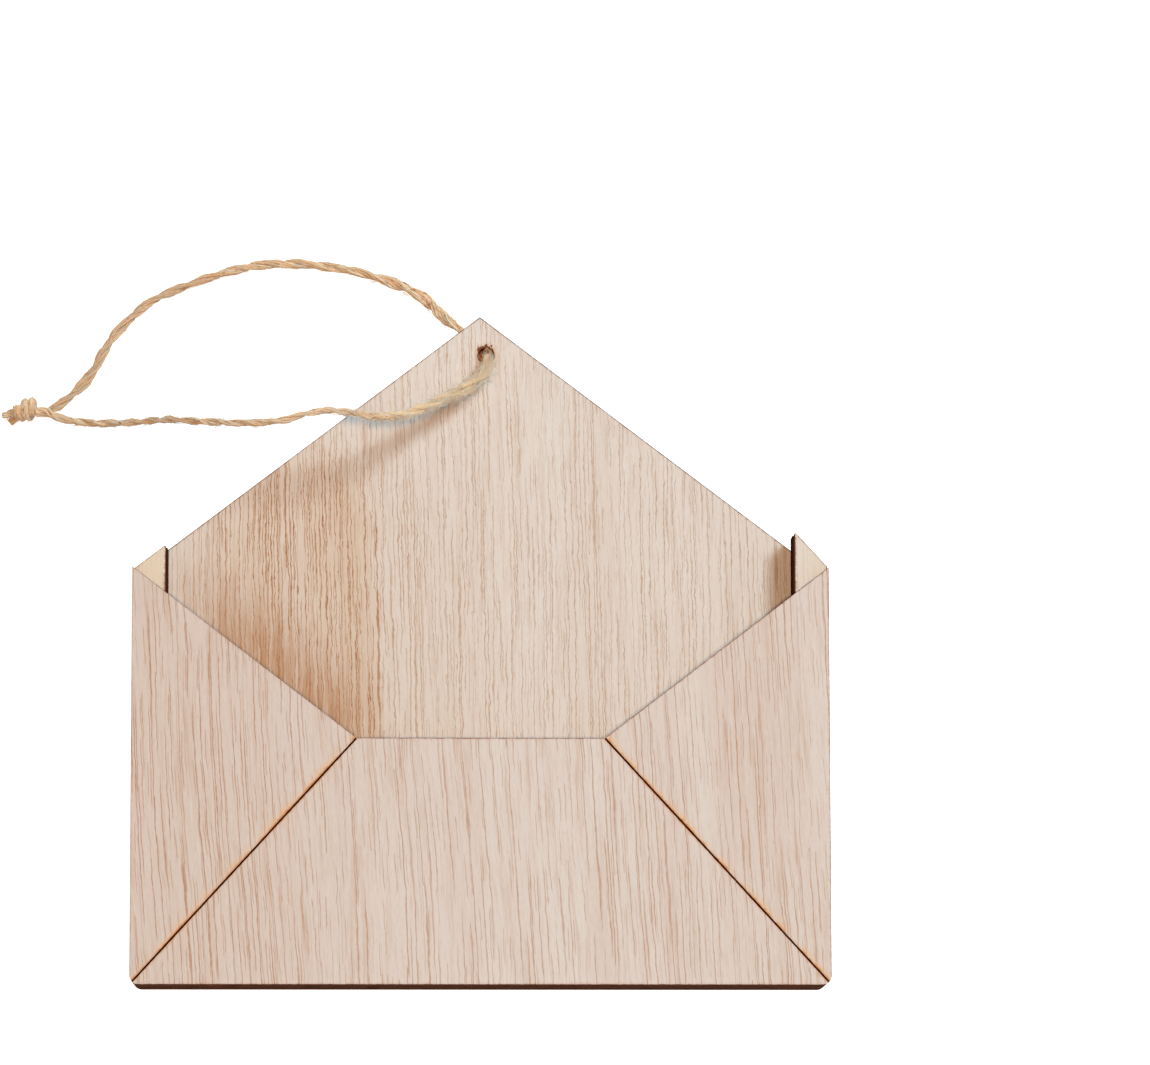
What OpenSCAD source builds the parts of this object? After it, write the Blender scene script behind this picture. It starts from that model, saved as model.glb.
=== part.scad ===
// Gift card holder: a flat wooden envelope of laser-cut plywood with an open pocket,
// and a loop of jute twine through a hole in the point of its flap.
// It lies on its back, raised a little at the point by the twine that passes under it.
// Sizes are in millimetres. X runs to the right, Y towards the point, Z out of the front.

/* [Holder] */
// Width across the two side edges
width = 100; // [80:1:140]
// Height of the side edges, up to the shoulders of the flap
side_h = 60; // [50:1:90]
// Rise of the pointed flap above the side edges
flap_h = 38; // [25:1:60]
// Thickness of every sheet of plywood
ply = 3; // [2.4:0.1:5]
// Radius of the two lower corners, to which the whole stack is sanded
corner_r = 1.3; // [0.4:0.1:3]

/* [Front] */
// Height of the lower front piece, whose top edge is the lip of the pocket
lip_h = 35.3; // [28:0.1:45]
// Height at which the sloping edges of the two side pieces would meet
vee_h = 21.7; // [15:0.1:26]
// Laser gap between neighbouring front pieces
seam_gap = 0.2; // [0.1:0.05:0.8]

/* [Spacer strips] */
// Width of the two side strips
side_strip_w = 4.7; // [3:0.1:7]
// Width of the bottom strip
bottom_strip_w = 5.1; // [3:0.1:8]
// How much further in the lower layer of each side strip reaches than the upper one
strip_step = 0.15; // [0:0.05:0.4]
// Radius of the side strips' corners
strip_corner_r = 0.15; // [0.1:0.05:0.6]
// Gap left along the mitre between the bottom strip and the left strip
mitre_gap = 0.3; // [0.1:0.1:1]
// Gap left above the bottom strip by the right strip, which is glued in turned over
turned_gap = 0.8; // [0.3:0.1:1.5]

/* [Hanging hole] */
// Diameter of the hole
hole_d = 2.4; // [2.2:0.1:4]
// Distance of its centre below the point of the flap
hole_drop = 5.7; // [4:0.1:9]
// Distance of its centre to the right of the middle
hole_x = 0.9; // [-1:0.1:1]

/* [Twine] */
// Diameter of the jute twine
twine_d = 1.2; // [0.8:0.1:1.4]
// Play between the twine and the panel that lies over it
under_gap = 0.3; // [0.3:0.1:0.6]

/* [Hidden] */

VENEER = [0.87, 0.79, 0.72];
STRIP_FACE = [0.90, 0.85, 0.74];
JUTE = [0.80, 0.65, 0.46];

half_w = width / 2;
total_h = side_h + flap_h;
hole_y = total_h - hole_drop;

// The point of the flap lies on the twine, so the whole holder leans back on its lower edge.
lean = asin((twine_d + under_gap) / hole_y);

// Slopes of the flap's edges, of the sloping front edges and of the seams between front pieces
flap_slope = flap_h / half_w;
vee_slope = (side_h - vee_h) / half_w;
lip_half = (lip_h - vee_h) / vee_slope;
seam_slope = lip_h / (half_w - lip_half);

// Half the laser gap, measured up and down from the seam line
seam_rise = seam_gap / 2 * sqrt(1 + pow(seam_slope, 2));

// How far in from the side edge the bottom strip's mitre ends, or meets the inside of a side strip
mitre_in = min(mitre_gap + bottom_strip_w / seam_slope, side_strip_w + strip_step);
// Height of the turned strip's foot, measured at its inner edge, so that it clears the mitre
turned_foot = turned_gap + max(
  (mitre_in - mitre_gap) * seam_slope + (side_strip_w - mitre_in) * flap_slope,
  (side_strip_w - mitre_gap) * flap_slope
);
// Width of the lower layer of the side strips
lower_strip_w = side_strip_w + strip_step;

// Places the flat holder as it lies: leaning back, with the origin under the middle of it
module lie() {
  translate([0, -total_h / 2, 0])
    rotate([lean, 0, 0])
      children();
}

// One sheet of plywood cut to an outline; layer 0 is the back panel and layer 3 the front
module sheet_at(layer) {
  translate([0, 0, layer * ply])
    linear_extrude(height = ply)
      children();
}

// What a rounded lower corner takes off the left corner of the outline
module corner_waste() {
  difference() {
    translate([-1, -1])
      square(corner_r + 1);
    translate([corner_r, corner_r])
      circle(r = corner_r, $fn = 32);
  }
}

module panel_outline() {
  difference() {
    polygon([
      [-half_w, 0],
      [half_w, 0],
      [half_w, side_h],
      [0, total_h],
      [-half_w, side_h]
    ]);
    translate([-half_w, 0])
      corner_waste();
    translate([half_w, 0])
      mirror([1, 0])
        corner_waste();
  }
}

module back_panel() {
  color(VENEER)
    lie()
      difference() {
        sheet_at(0)
          panel_outline();
        translate([hole_x, hole_y, -1])
          cylinder(d = hole_d, h = ply + 2, $fn = 32);
      }
}

// A side strip, with its long edge on the left: mitred at the bottom like the front seams
// and cut at the top like the flap
module strip_outline(strip_w) {
  offset(r = strip_corner_r, $fn = 24)
    offset(delta = -strip_corner_r)
      polygon([
        [0, 0],
        [strip_w, strip_w * seam_slope],
        [strip_w, side_h + strip_w * flap_slope],
        [0, side_h]
      ]);
}

// Trims a piece to the back panel's rounded corners
module in_panel() {
  intersection() {
    panel_outline();
    children();
  }
}

module left_spacer(layer, strip_w) {
  color(STRIP_FACE)
    lie()
      sheet_at(layer)
        in_panel()
          translate([-half_w, 0])
            strip_outline(strip_w);
}

// The right strip is the left strip turned over top to bottom, with its long edge inwards,
// so its mitred end is at the top and stands up past the edge of the flap
module right_spacer(layer, strip_w) {
  color(STRIP_FACE)
    lie()
      sheet_at(layer)
        translate([half_w - strip_w, turned_foot + side_h])
          mirror([0, 1])
            strip_outline(strip_w);
}

module bottom_spacer(layer) {
  foot_half = half_w - mitre_gap;
  top_half = foot_half - bottom_strip_w / seam_slope;
  color(STRIP_FACE)
    lie()
      sheet_at(layer)
        in_panel()
          polygon([
            [-foot_half, 0],
            [foot_half, 0],
            [top_half, bottom_strip_w],
            [-top_half, bottom_strip_w]
          ]);
}

// The left triangle of the front: side edge, sloping edge and seam
module front_side_outline() {
  reach = (side_h - seam_rise) / (seam_slope + vee_slope);
  polygon([
    [-half_w, seam_rise],
    [-half_w + reach, side_h - vee_slope * reach],
    [-half_w, side_h]
  ]);
}

module front_left() {
  color(VENEER)
    lie()
      sheet_at(3)
        in_panel()
          front_side_outline();
}

module front_right() {
  color(VENEER)
    lie()
      sheet_at(3)
        in_panel()
          mirror([1, 0])
            front_side_outline();
}

module front_bottom() {
  foot_half = half_w - seam_rise / seam_slope;
  top_half = lip_half - seam_rise / seam_slope;
  color(VENEER)
    lie()
      sheet_at(3)
        in_panel()
          polygon([
            [-foot_half, 0],
            [foot_half, 0],
            [top_half, lip_h],
            [-top_half, lip_h]
          ]);
}

// The twine. Its routes start in the middle of the hole and are counted from there in X and Y;
// the third number is the height above the table.
hole_at = [
  hole_x,
  hole_y * cos(lean) - ply / 2 * sin(lean) - total_h / 2,
  0
];
// Height of the middle of the hole
mid_z = hole_y * sin(lean) + ply / 2 * cos(lean);
// Height of the middle of a strand that lies on the table
lie_z = twine_d / 2;
// Place of the middle of the knot's end that the two strands run into
knot_at = [-65.6, -8, 1.7];
// How far each strand lies from there sideways and up: the front run is on top of the back run
strand_aside = 0.2;
strand_up = 0.6;

// Out of the front of the hole, over the edge of the flap in an arch and down to the knot
front_route = [
  [0, 0, mid_z],
  [0, 0, mid_z + 1.2],
  [0, -0.5, mid_z + 2.3],
  [-0.1, -1.7, mid_z + 3.3],
  [-0.7, -3.6, 7.5],
  [-2.4, -5.4, 9.1],
  [-4.7, -7, 11],
  [-7.2, -8.5, 13.2],
  [-9.6, -9.9, 15.2],
  [-12.2, -11.2, 17.5],
  [-14.8, -11.8, 19.6],
  [-17.5, -11.9, 21.2],
  [-20.2, -11.6, 22.3],
  [-23, -11.6, 23],
  [-25.9, -12.1, 23.3],
  [-28.7, -12.9, 23.2],
  [-31.7, -13.2, 22.6],
  [-35.2, -13.1, 21.5],
  [-38.7, -12.7, 19.9],
  [-42.3, -12.1, 17.6],
  [-45.8, -11.4, 14.6],
  [-49.4, -11.1, 11.4],
  [-53, -10.8, 8.3],
  [-56.4, -10.4, 5.7],
  [-59.3, -9.8, 3.8],
  [-61.9, -9.2, 2.9],
  [knot_at[0] + 1.4, knot_at[1] - strand_aside, knot_at[2] + strand_up],
  [knot_at[0], knot_at[1] - strand_aside, knot_at[2] + strand_up]
];

// Out of the back of the hole, under the flap and round on the table to the knot
back_route = [
  [0, 0, mid_z],
  [0, 0, lie_z + 1.3],
  [-0.1, 0.1, lie_z + 0.65],
  [-0.35, 0.45, lie_z + 0.2],
  [-0.8, 1, lie_z],
  [-2, 2.6, lie_z],
  [-3.5, 4.4, lie_z],
  [-6, 6.1, lie_z],
  [-8.5, 8.8, lie_z],
  [-11, 10.4, lie_z],
  [-14, 11.6, lie_z],
  [-17, 12.6, lie_z],
  [-20, 13.4, lie_z],
  [-23, 13.8, lie_z],
  [-26, 14.2, lie_z],
  [-29.5, 14.3, lie_z],
  [-33, 14.1, lie_z],
  [-36.5, 13.4, lie_z],
  [-40, 12.4, lie_z],
  [-43, 11.3, lie_z],
  [-46, 10.1, lie_z],
  [-49, 8.6, lie_z],
  [-51.5, 6.5, lie_z],
  [-54, 3.9, lie_z],
  [-55.9, 1, lie_z],
  [-57.2, -1.5, lie_z],
  [-58.8, -3.7, lie_z],
  [-60.6, -5.5, lie_z],
  [-62.4, -6.9, 0.8],
  [knot_at[0] + 1.4, knot_at[1] + strand_aside, knot_at[2] - strand_up],
  [knot_at[0], knot_at[1] + strand_aside, knot_at[2] - strand_up]
];

function unit(v) = v / norm(v);

function heading(route, i) =
  unit(route[min(i + 1, len(route) - 1)] - route[max(i - 1, 0)]);

// A direction square to the route at each point, turning as little as the route lets it
function side_ways(route, i = 0, last = [1, 0, 0]) =
  i == len(route) ? [] :
  let (t = heading(route, i), n = unit(last - (last * t) * t))
  concat([n], side_ways(route, i + 1, n));

// A round tube along a route, as one closed solid
module tube(route, r, sides = 8) {
  n = side_ways(route);
  last = len(route) - 1;
  ring_points = [
    for (i = [0:last])
      let (across = cross(heading(route, i), n[i]))
      for (k = [0:sides - 1])
        route[i] + r * (cos(360 * k / sides) * n[i] + sin(360 * k / sides) * across)
  ];
  walls = [
    for (i = [0:last - 1])
      for (k = [0:sides - 1])
        let (
          a = i * sides + k,
          b = i * sides + (k + 1) % sides
        )
        each [[a, a + sides, b], [b, a + sides, b + sides]]
  ];
  first_cap = [for (k = [1:sides - 2]) [0, k, k + 1]];
  last_cap = [for (k = [1:sides - 2]) [last * sides, last * sides + k + 1, last * sides + k]];
  polyhedron(points = ring_points, faces = concat(first_cap, walls, last_cap));
}

module twine_front_run() {
  color(JUTE)
    translate(hole_at)
      tube(front_route, twine_d / 2);
}

module twine_back_run() {
  color(JUTE)
    translate(hole_at)
      tube(back_route, twine_d / 2);
}

// One turn of twine round the knot
module wrap(along, tilt) {
  translate([-along, 0, 0])
    rotate([0, 90 + tilt, 0])
      rotate_extrude($fn = 32)
        translate([knot_at[2] - twine_d / 2, 0])
          circle(d = twine_d, $fn = 16);
}

// The overhand knot that closes the loop: two wraps round the strands, and two cut tails
module twine_knot() {
  knot_core_r = norm([strand_aside, strand_up]) + twine_d / 2 + 0.05;
  knot_l = 3.2;
  tail_l = 2;
  color(JUTE)
    translate(hole_at + knot_at) {
      rotate([0, -90, 0])
        cylinder(r = knot_core_r, h = knot_l, $fn = 32);
      wrap(0.9, 8);
      wrap(2.1, -8);
      translate([-knot_l + 0.5, 0.3, 0])
        rotate([0, -90, 6])
          cylinder(d = twine_d, h = tail_l + 0.5, $fn = 24);
      translate([-knot_l + 0.8, -0.6, -0.4])
        rotate([0, -90, 45])
          cylinder(d = twine_d, h = tail_l, $fn = 24);
    }
}

back_panel();
left_spacer(1, lower_strip_w);  // left_spacer_lower
left_spacer(2, side_strip_w);  // left_spacer_upper
right_spacer(1, lower_strip_w);  // right_spacer_lower
right_spacer(2, side_strip_w);  // right_spacer_upper
bottom_spacer(1);  // bottom_spacer_lower
bottom_spacer(2);  // bottom_spacer_upper
front_left();
front_right();
front_bottom();
twine_front_run();
twine_back_run();
twine_knot();
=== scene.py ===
"""Gift card holder: a flat plywood envelope with a knotted loop of jute twine.

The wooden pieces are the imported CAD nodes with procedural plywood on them.
The twine is built here, along the same routes as its CAD tubes.
Lengths are in millimetres until they reach the scene, where MM turns them into metres.
"""

import math
import random

import bpy
import numpy as np
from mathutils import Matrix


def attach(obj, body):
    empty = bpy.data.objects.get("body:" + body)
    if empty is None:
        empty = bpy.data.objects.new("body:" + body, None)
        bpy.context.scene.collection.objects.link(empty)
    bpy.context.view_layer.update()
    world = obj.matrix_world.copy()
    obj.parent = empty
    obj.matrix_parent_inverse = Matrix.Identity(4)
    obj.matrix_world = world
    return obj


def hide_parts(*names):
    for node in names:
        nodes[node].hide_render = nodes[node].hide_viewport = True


MM = 0.001
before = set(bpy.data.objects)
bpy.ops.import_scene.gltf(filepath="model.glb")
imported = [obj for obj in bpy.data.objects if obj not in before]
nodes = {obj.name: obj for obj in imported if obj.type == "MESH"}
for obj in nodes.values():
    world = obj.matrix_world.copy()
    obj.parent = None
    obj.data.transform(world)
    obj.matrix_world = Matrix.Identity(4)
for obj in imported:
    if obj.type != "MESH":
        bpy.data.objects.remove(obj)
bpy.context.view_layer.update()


# Camera

CAMERA_AT = (-11.81, -112.93, 820.0)
CAMERA_TURN = (7.671, -0.857, -0.025)  # degrees
SENSOR, LENS, SHIFT_X, SHIFT_Y = 36, 178.06, 0.08, 0.12
NEAREST, FURTHEST = 0.01, 20  # what the camera sees, in metres

camera_data = bpy.data.cameras.new("camera")
camera_data.sensor_width = SENSOR
camera_data.lens = LENS
camera_data.shift_x = SHIFT_X
camera_data.shift_y = SHIFT_Y
camera_data.clip_start = NEAREST
camera_data.clip_end = FURTHEST
camera = bpy.data.objects.new("camera", camera_data)
camera.location = [v * MM for v in CAMERA_AT]
camera.rotation_euler = [math.radians(v) for v in CAMERA_TURN]
bpy.context.scene.collection.objects.link(camera)
bpy.context.scene.camera = camera


# The holder's own frame

FLAP_TO_LOWER_EDGE = 98.0
PLY = 3.0  # thickness of every sheet
HOLE_UP = 92.3  # from the lower edge
HOLE_X = 0.9  # to the right of the middle
HOLE_D = 2.4
TWINE_D = 1.2


def lean_of(panel):
    """The angle by which the panel leans back on the twine, from its largest face."""
    face = max(panel.data.polygons, key=lambda p: p.area * (p.normal.z > 0.5))
    return math.atan2(-face.normal.y, face.normal.z)


LEAN = lean_of(nodes["back_panel"])


def placed(x, y, z):
    """A point of the holder, from its middle, lower edge and back, in the row frame."""
    return np.array(
        [
            x,
            y * math.cos(LEAN) - z * math.sin(LEAN) - FLAP_TO_LOWER_EDGE / 2,
            y * math.sin(LEAN) + z * math.cos(LEAN),
        ]
    )


HOLE_MIDDLE = placed(HOLE_X, HOLE_UP, PLY / 2)
HOLE_AT = np.array([HOLE_MIDDLE[0], HOLE_MIDDLE[1], 0.0])
MID_Z = HOLE_MIDDLE[2]
LIE_Z = TWINE_D / 2


# Twine routes: steps from the hole in x and y, and the height above the table

KNOT_AT = np.array([-65.6, -8.0, 1.7])
STRAND_ASIDE, STRAND_UP = 0.2, 0.6  # of each run's end from the middle of the knot
FRONT_ROUTE = [
    (0, 0, MID_Z),
    (0, 0, MID_Z + 1.2),
    (0, -0.5, MID_Z + 2.3),
    (-0.1, -1.7, MID_Z + 3.3),
    (-0.7, -3.6, 7.5),
    (-2.4, -5.4, 9.1),
    (-4.7, -7, 11),
    (-7.2, -8.5, 13.2),
    (-9.6, -9.9, 15.2),
    (-12.2, -11.2, 17.5),
    (-14.8, -11.8, 19.6),
    (-17.5, -11.9, 21.2),
    (-20.2, -11.6, 22.3),
    (-23, -11.6, 23),
    (-25.9, -12.1, 23.3),
    (-28.7, -12.9, 23.2),
    (-31.7, -13.2, 22.6),
    (-35.2, -13.1, 21.5),
    (-38.7, -12.7, 19.9),
    (-42.3, -12.1, 17.6),
    (-45.8, -11.4, 14.6),
    (-49.4, -11.1, 11.4),
    (-53, -10.8, 8.3),
    (-56.4, -10.4, 5.7),
    (-59.3, -9.8, 3.8),
    (-61.9, -9.2, 2.9),
    (KNOT_AT[0] + 1.4, KNOT_AT[1] - STRAND_ASIDE, KNOT_AT[2] + STRAND_UP),
    (KNOT_AT[0], KNOT_AT[1] - STRAND_ASIDE, KNOT_AT[2] + STRAND_UP),
]
BACK_ROUTE = [
    (0, 0, MID_Z),
    (0, 0, LIE_Z + 1.3),
    (-0.1, 0.1, LIE_Z + 0.65),
    (-0.35, 0.45, LIE_Z + 0.2),
    (-0.8, 1, LIE_Z),
    (-2, 2.6, LIE_Z),
    (-3.5, 4.4, LIE_Z),
    (-6, 6.1, LIE_Z),
    (-8.5, 8.8, LIE_Z),
    (-11, 10.4, LIE_Z),
    (-14, 11.6, LIE_Z),
    (-17, 12.6, LIE_Z),
    (-20, 13.4, LIE_Z),
    (-23, 13.8, LIE_Z),
    (-26, 14.2, LIE_Z),
    (-29.5, 14.3, LIE_Z),
    (-33, 14.1, LIE_Z),
    (-36.5, 13.4, LIE_Z),
    (-40, 12.4, LIE_Z),
    (-43, 11.3, LIE_Z),
    (-46, 10.1, LIE_Z),
    (-49, 8.6, LIE_Z),
    (-51.5, 6.5, LIE_Z),
    (-54, 3.9, LIE_Z),
    (-55.9, 1, LIE_Z),
    (-57.2, -1.5, LIE_Z),
    (-58.8, -3.7, LIE_Z),
    (-60.6, -5.5, LIE_Z),
    (-62.4, -6.9, 0.8),
    (KNOT_AT[0] + 1.4, KNOT_AT[1] + STRAND_ASIDE, KNOT_AT[2] - STRAND_UP),
    (KNOT_AT[0], KNOT_AT[1] + STRAND_ASIDE, KNOT_AT[2] - STRAND_UP),
]


# Curves and sweeps

CUTS_PER_SPAN = 24  # of a curve, before it is cut into even steps
TINY = 1e-6  # keeps divisions away from zero


def smooth_line(points, step):
    """A centripetal Catmull-Rom curve through the points, cut into even steps."""
    p = np.array(points, float)
    p = np.vstack([2 * p[0] - p[1], p, 2 * p[-1] - p[-2]])
    fine = []
    for a, b, c, d in zip(p, p[1:], p[2:], p[3:]):
        t0 = 0.0
        t1 = t0 + max(np.linalg.norm(b - a), TINY) ** 0.5
        t2 = t1 + np.linalg.norm(c - b) ** 0.5
        t3 = t2 + max(np.linalg.norm(d - c), TINY) ** 0.5
        t = np.linspace(t1, t2, CUTS_PER_SPAN, endpoint=False)[:, None]
        ab = (t1 - t) / (t1 - t0) * a + (t - t0) / (t1 - t0) * b
        bc = (t2 - t) / (t2 - t1) * b + (t - t1) / (t2 - t1) * c
        cd = (t3 - t) / (t3 - t2) * c + (t - t2) / (t3 - t2) * d
        abc = (t2 - t) / (t2 - t0) * ab + (t - t0) / (t2 - t0) * bc
        bcd = (t3 - t) / (t3 - t1) * bc + (t - t1) / (t3 - t1) * cd
        fine.append((t2 - t) / (t2 - t1) * abc + (t - t1) / (t2 - t1) * bcd)
    fine = np.vstack(fine + [p[-2][None]])
    along = np.r_[0, np.cumsum(np.linalg.norm(np.diff(fine, axis=0), axis=1))]
    even = np.linspace(0, along[-1], max(4, round(along[-1] / step)) + 1)
    return np.column_stack([np.interp(even, along, fine[:, k]) for k in range(3)])


def lengths(line):
    """Distance along the line to each of its points."""
    return np.r_[0, np.cumsum(np.linalg.norm(np.diff(line, axis=0), axis=1))]


def frames(line):
    """Directions along, to the side and across at each point, without needless twist."""
    t = np.gradient(line, axis=0)
    t /= np.linalg.norm(t, axis=1)[:, None]
    side = np.zeros_like(t)
    last = np.array([1.0, 0.3, 0.2])  # any direction that no strand starts along
    for i, direction in enumerate(t):
        last = last - (last @ direction) * direction
        last = last / np.linalg.norm(last)
        side[i] = last
    return t, side, np.cross(t, side)


def wander(along, pitch, seed):
    """Smooth seeded noise between -1 and 1 along a strand."""
    knots = np.arange(-1, along[-1] / pitch + 3)
    values = np.random.default_rng(seed).uniform(-1, 1, len(knots))
    x = along / pitch
    low = np.floor(x).astype(int)
    f = x - low
    f = f * f * (3 - 2 * f)
    return values[low + 1] * (1 - f) + values[low + 2] * f


class Pile:
    """Vertices, faces and surface coordinates of one mesh while it grows."""

    def __init__(self):
        self.points, self.faces, self.uvs, self.count = [], [], [], 0

    def tube(self, line, radial, radius_a, radius_b, sides, v0=0.0, v_span=1.0):
        """A closed tube along the line, with half-axes a along radial and b across it."""
        t, _, _ = frames(line)
        radial = radial - np.sum(radial * t, axis=1)[:, None] * t
        radial /= np.linalg.norm(radial, axis=1)[:, None]
        across = np.cross(t, radial)
        turn = np.linspace(0, 2 * math.pi, sides, endpoint=False)
        rings = (
            line[:, None, :]
            + (radius_a[:, None] * np.cos(turn))[:, :, None] * radial[:, None, :]
            + (radius_b[:, None] * np.sin(turn))[:, :, None] * across[:, None, :]
        )
        n = len(line)
        u = lengths(line)
        base = self.count
        self.points.append(rings.reshape(-1, 3))
        self.count += n * sides
        for i in range(n - 1):
            for k in range(sides):
                a = base + i * sides + k
                b = base + i * sides + (k + 1) % sides
                self.faces.append((a, b, b + sides, a + sides))
                va, vb = v0 + v_span * k / sides, v0 + v_span * (k + 1) / sides
                self.uvs += [(u[i], va), (u[i], vb), (u[i + 1], vb), (u[i + 1], va)]
        self.faces.append(tuple(base + k for k in reversed(range(sides))))
        self.uvs += [(0, v0)] * sides
        last = base + (n - 1) * sides
        self.faces.append(tuple(last + k for k in range(sides)))
        self.uvs += [(u[-1], v0)] * sides

    def mesh_object(self, name):
        """The pile as one smooth-shaded object, in metres."""
        mesh = bpy.data.meshes.new(name)
        points = np.vstack(self.points) * MM
        mesh.from_pydata(points.tolist(), [], self.faces)
        layer = mesh.uv_layers.new(name="strand")
        layer.data.foreach_set("uv", np.array(self.uvs, np.float32).ravel())
        mesh.polygons.foreach_set("use_smooth", [True] * len(mesh.polygons))
        mesh.validate()
        obj = bpy.data.objects.new(name, mesh)
        bpy.context.scene.collection.objects.link(obj)
        return obj


# Jute twine

RING_STEP = 0.2  # between two rings of a strand
YARNS = 10  # bundles of fibres in each ply
YARN_SIDES = 5
YARN_TURN = 22  # length in which the bundles go once round their ply
CORE = 0.72  # radius of a ply's solid core, and of the bundles' middles, in the ply's
CORE_SIDES = 8
LAY_LENGTH = 8.0  # one full turn of the two plies
REST = 1.1  # least height of a strand's middle over the table, in its radius
TAIL_REST = 1.05

HAIR_REACH = 2.4  # no loose fibre gets further than this from the strand's middle
HAIR_RINGS = 6
HAIR_THIN = (0.018, 0.045)  # least and greatest radius

# The second surface coordinate says which bundle a face belongs to, and marks fibres.
BACK_YARNS = 24  # the back run's bundles start here
KNOT_YARNS = 48  # and the knot's
LOOSE = 80  # a loose, pale fibre
LOOSE_TONES = 6  # the span of its tones
# GOLDEN and MATTED fibres are painted browner and darker as painted shade inside the hole
GOLDEN = LOOSE + 20  # a browner fibre round the hole
MATTED = LOOSE + 40  # a dark one inside it


def twist(pile, line, radius, lay, seed, phase=0.0, loosen=None, spread=0.42, first=0):
    """Two plies laid round each other along the line; radius is given at each point."""
    s = lengths(line)
    _, side, across = frames(line)
    turn = phase + np.r_[0, np.cumsum(np.diff(s) * 2 * math.pi / lay[1:])]
    turn = turn + 0.35 * wander(s, 5.0, seed)
    loosen = np.zeros(len(s)) if loosen is None else loosen
    spread = spread + 0.1 * loosen
    for ply in range(2):
        angle = turn + ply * math.pi + 0.15 * wander(s, 2.5, seed + 11 + ply)
        out = np.cos(angle)[:, None] * side + np.sin(angle)[:, None] * across
        size = radius * (
            1
            + 0.13 * wander(s, 2.2, seed + 3 + ply)
            + 0.08 * wander(s, 0.6, seed + 5 + ply)
        )
        centre = line + out * (spread * size)[:, None]
        flat = size * (1.0 - spread)
        number = first + ply * YARNS
        yarns(pile, centre, out, flat, s, loosen, seed + 100 * ply, number)


def yarns(pile, line, out, radius, s, fray, seed, number):
    """One ply: bundles of fibres that run nearly along it and slip over each other."""
    rng = random.Random(seed)
    t, _, _ = frames(line)
    out = out - np.sum(out * t, axis=1)[:, None] * t
    out /= np.linalg.norm(out, axis=1)[:, None]
    across = np.cross(t, out)
    core = radius * CORE
    pile.tube(line, out, core, core, CORE_SIDES, v0=number + 0.5, v_span=0.4)
    for yarn in range(YARNS):
        slip = (0.5 + fray) * wander(s, 3.0, seed + 7 + yarn) - 2 * math.pi * s / YARN_TURN
        turn = yarn * 2 * math.pi / YARNS + rng.uniform(-0.3, 0.3) + slip
        far = radius * (CORE + (0.13 + 0.22 * fray) * wander(s, 1.8, seed + 31 + yarn))
        thick = radius * rng.uniform(0.2, 0.34)
        thick = thick * (1 + 0.3 * wander(s, 1.5, seed + 53 + yarn))
        thick = thick * (1 - 0.4 * fray)
        way = np.cos(turn)[:, None] * out + np.sin(turn)[:, None] * across * 1.12
        middle = line + way * far[:, None]
        pile.tube(middle, way, thick, thick * 1.3, YARN_SIDES, number + yarn)


def hairs(
    pile, line, radius, density, reach, seed, keep_above, lifts=(0.05, 0.6), curls=0.35
):
    """Loose fibres that stand off the twine; density is fibres per millimetre, by place."""
    rng = random.Random(seed)
    s = lengths(line)
    t, side, across = frames(line)
    chance = np.interp(s, *density)
    cumulated = np.r_[0, np.cumsum((chance[1:] + chance[:-1]) / 2 * np.diff(s))]
    total = float(cumulated[-1])
    for _ in range(int(total)):
        i = int(np.interp(rng.random() * total, cumulated, range(len(s))))
        i = min(max(i, 1), len(s) - 2)
        around = rng.uniform(0, 2 * math.pi)
        out = math.cos(around) * side[i] + math.sin(around) * across[i]
        way = 1 if rng.random() < 0.6 else -1
        length = reach * rng.uniform(0.35, 1.0) ** 1.4
        lift = rng.uniform(*lifts)
        curl = np.array([rng.uniform(-1, 1) for _ in range(3)]) * curls
        start = line[i] + out * radius[i] * rng.uniform(0.7, 1.0)
        steps = np.linspace(0, 1, HAIR_RINGS)[:, None]
        path = (
            start
            + steps * length * (way * t[i] * 0.75 + out * lift)
            + steps**2 * length * (curl + 0.25 * way * t[i])
        )
        path = keep_above(path)
        away = path - line[i]
        span = np.linalg.norm(away, axis=1)[:, None]
        path = line[i] + away * np.minimum(1, HAIR_REACH / np.maximum(span, TINY))
        thin = rng.uniform(*HAIR_THIN) * np.linspace(1, 0.4, HAIR_RINGS)
        shade = LOOSE + rng.uniform(0, LOOSE_TONES)
        radial = np.tile(out, (HAIR_RINGS, 1)) + 0.01
        pile.tube(path, radial, thin, thin, 3, v0=shade, v_span=0.1)


OVER_TABLE, OVER_PANEL = 0.03, 0.04  # least height of a loose fibre over each
FLAP_ENDS_X = -22  # the front run is past the flap's edge to the left of this
UNDER_PANEL = 0.06  # play between the back run and the panel
HOLE_MOUTH = 1.25  # this near to the hole's middle the back run may rise into it
SQUASH = 8  # how square the squashed back run gets

PANEL_FRONT = placed(0, 0, PLY)
PANEL_UP = np.array([0, -math.sin(LEAN), math.cos(LEAN)])


def above_table(path):
    """Keeps fibres out of the table."""
    path[:, 2] = np.maximum(path[:, 2], OVER_TABLE)
    return path


def above_panel(path):
    """Keeps fibres near the hole out of the panel's face."""
    near_flap = path[:, 0] > FLAP_ENDS_X
    height = (path - PANEL_FRONT) @ PANEL_UP
    lift = np.where(near_flap, np.maximum(OVER_PANEL - height, 0), 0)
    return path + lift[:, None] * PANEL_UP


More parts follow.
